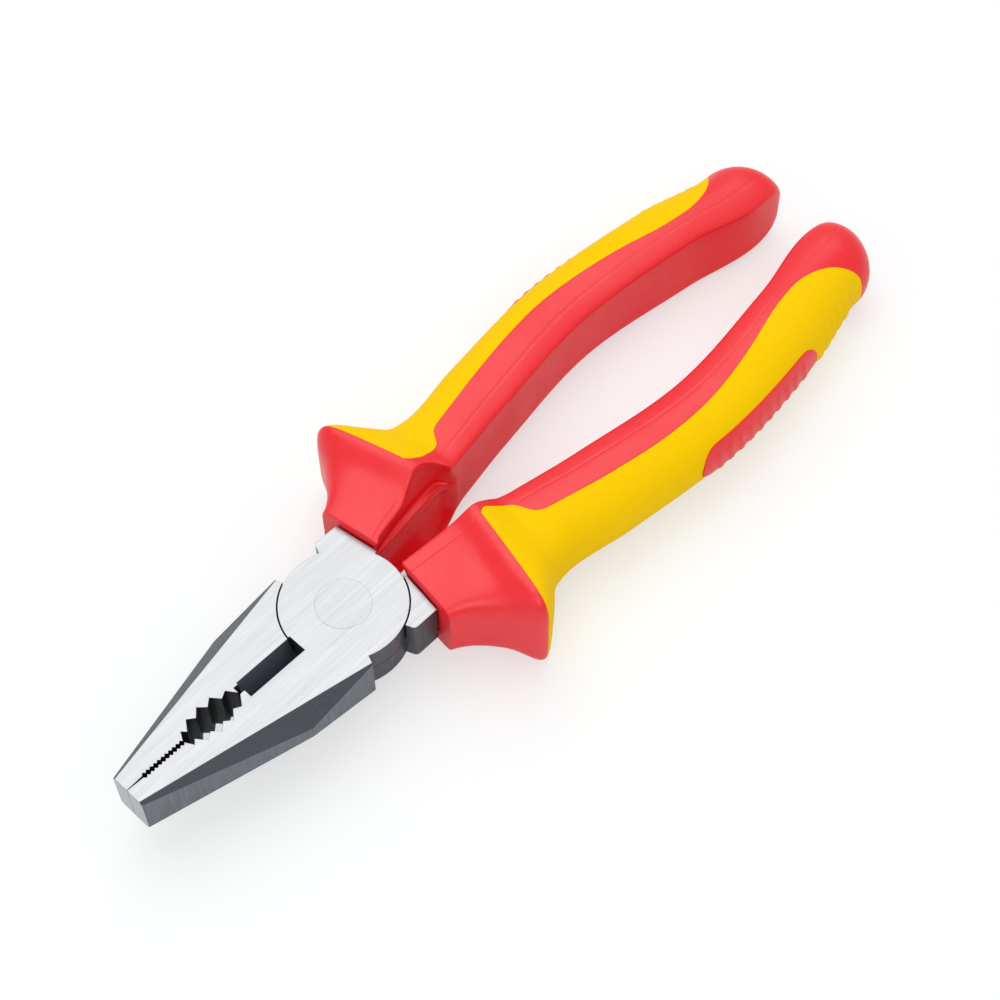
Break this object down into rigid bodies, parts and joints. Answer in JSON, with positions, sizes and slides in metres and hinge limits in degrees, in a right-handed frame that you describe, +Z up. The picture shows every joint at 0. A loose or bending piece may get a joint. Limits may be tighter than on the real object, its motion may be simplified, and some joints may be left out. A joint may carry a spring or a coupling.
{
  "type": "lineman pliers",
  "caption": "Lineman pliers: two forged steel halves on a riveted lap joint, with gripping and cutting jaws, and guarded two-material handle grips.",
  "frame": {"origin": "on the pivot axis, at the head's lower face", "axes": "+X to the nose along the closed jaws, +Y to the side of the upper half's jaw, +Z up along the pivot"},
  "size_m": [0.1804, 0.0582, 0.0212],
  "materials": {
    "ground_steel": "ground broad faces with a fine lengthwise grain, dark oxide on the edges and bevels",
    "rivet_steel": "ground flush with the head",
    "red_grip": "satin moulded hard plastic",
    "yellow_cover": "matt soft moulded rubber"
  },
  "bodies": {
    "lower": {"lower_half": "ground_steel", "pivot_rivet": "rivet_steel", "lower_half_sleeve": "red_grip", "lower_half_cover": "yellow_cover"},
    "upper": {"upper_half": "ground_steel", "upper_half_sleeve": "red_grip", "upper_half_cover": "yellow_cover"}
  },
  "joints": [
    {"name": "pivot", "type": "hinge", "parent": "lower", "child": "upper", "pos_m": [0, 0, 0.0047], "axis": [0, 0, 1], "range_deg": [0, 42]}
  ]
}
